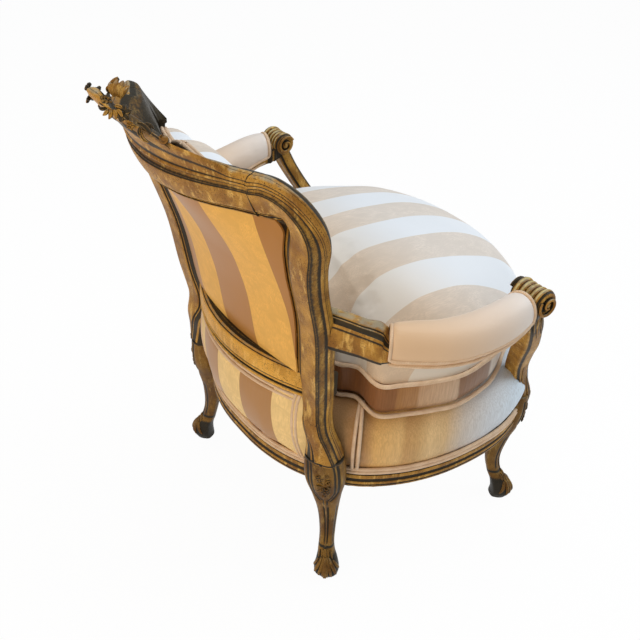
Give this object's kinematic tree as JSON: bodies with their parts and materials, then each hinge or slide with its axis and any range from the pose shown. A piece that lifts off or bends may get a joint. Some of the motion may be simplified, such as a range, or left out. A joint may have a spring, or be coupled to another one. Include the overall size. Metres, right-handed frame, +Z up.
{
  "type": "bergere armchair",
  "caption": "Carved show-wood armchair on cabriole legs, with a bowed and padded back, padded open arms, a sprung stuffed seat and a loose crowned cushion with piped seams.",
  "frame": {"origin": "on the floor, midway between the outermost points of the chair from side to side and from front to back", "axes": "+Z up; the chair looks along -Y, so its back is toward +Y; +X is the left hand of the person who sits in it"},
  "size_m": [0.8198, 0.8396, 0.9711],
  "materials": {
    "gilt_show_wood": "carved beech with distressed antique gold and dark green glaze in the hollows",
    "striped_satin": "satin and moire stripes, ivory and beige",
    "striped_satin_warm": "the same striped satin, in warmer light on the back",
    "piping_cord": "fabric-covered cord",
    "raw_beech": "unfinished",
    "steel": "plain",
    "jute_webbing": "woven jute",
    "black_lining": "thin woven lining"
  },
  "bodies": {
    "chair_frame": {"rear_post_left": "gilt_show_wood", "front_leg_left": "gilt_show_wood", "arm_rail_left": "gilt_show_wood", "arm_support_left": "gilt_show_wood", "arm_pad_left": "striped_satin", "rear_post_right": "gilt_show_wood", "front_leg_right": "gilt_show_wood", "arm_rail_right": "gilt_show_wood", "arm_support_right": "gilt_show_wood", "arm_pad_right": "striped_satin", "seat_rail_left": "gilt_show_wood", "seat_rail_front": "gilt_show_wood", "seat_rail_right": "gilt_show_wood", "seat_rail_rear": "gilt_show_wood", "crest_rail": "gilt_show_wood", "lower_back_rail": "gilt_show_wood", "corner_block_rear_left": "raw_beech", "block_screw_rear_left": "steel", "corner_block_front_left": "raw_beech", "block_screw_front_left": "steel", "corner_block_rear_right": "raw_beech", "block_screw_rear_right": "steel", "corner_block_front_right": "raw_beech", "block_screw_front_right": "steel", "outside_back_panel": "striped_satin_warm", "back_webbing": "jute_webbing", "rear_seat_pad": "striped_satin_warm", "inside_back_pad": "striped_satin", "seat_deck": "striped_satin", "seat_webbing": "jute_webbing", "dust_cover": "black_lining", "seat_spring_1": "steel", "seat_spring_2": "steel", "seat_spring_3": "steel", "seat_spring_4": "steel", "seat_spring_5": "steel"},
    "loose_cushion": {"seat_cushion": "striped_satin", "cushion_piping_bottom": "piping_cord", "cushion_piping_top": "piping_cord"}
  },
  "joints": [
    {"name": "cushion_lift", "type": "slide", "parent": "chair_frame", "child": "loose_cushion", "axis": [0, 0, 1], "range_m": [0, 0.25]}
  ]
}
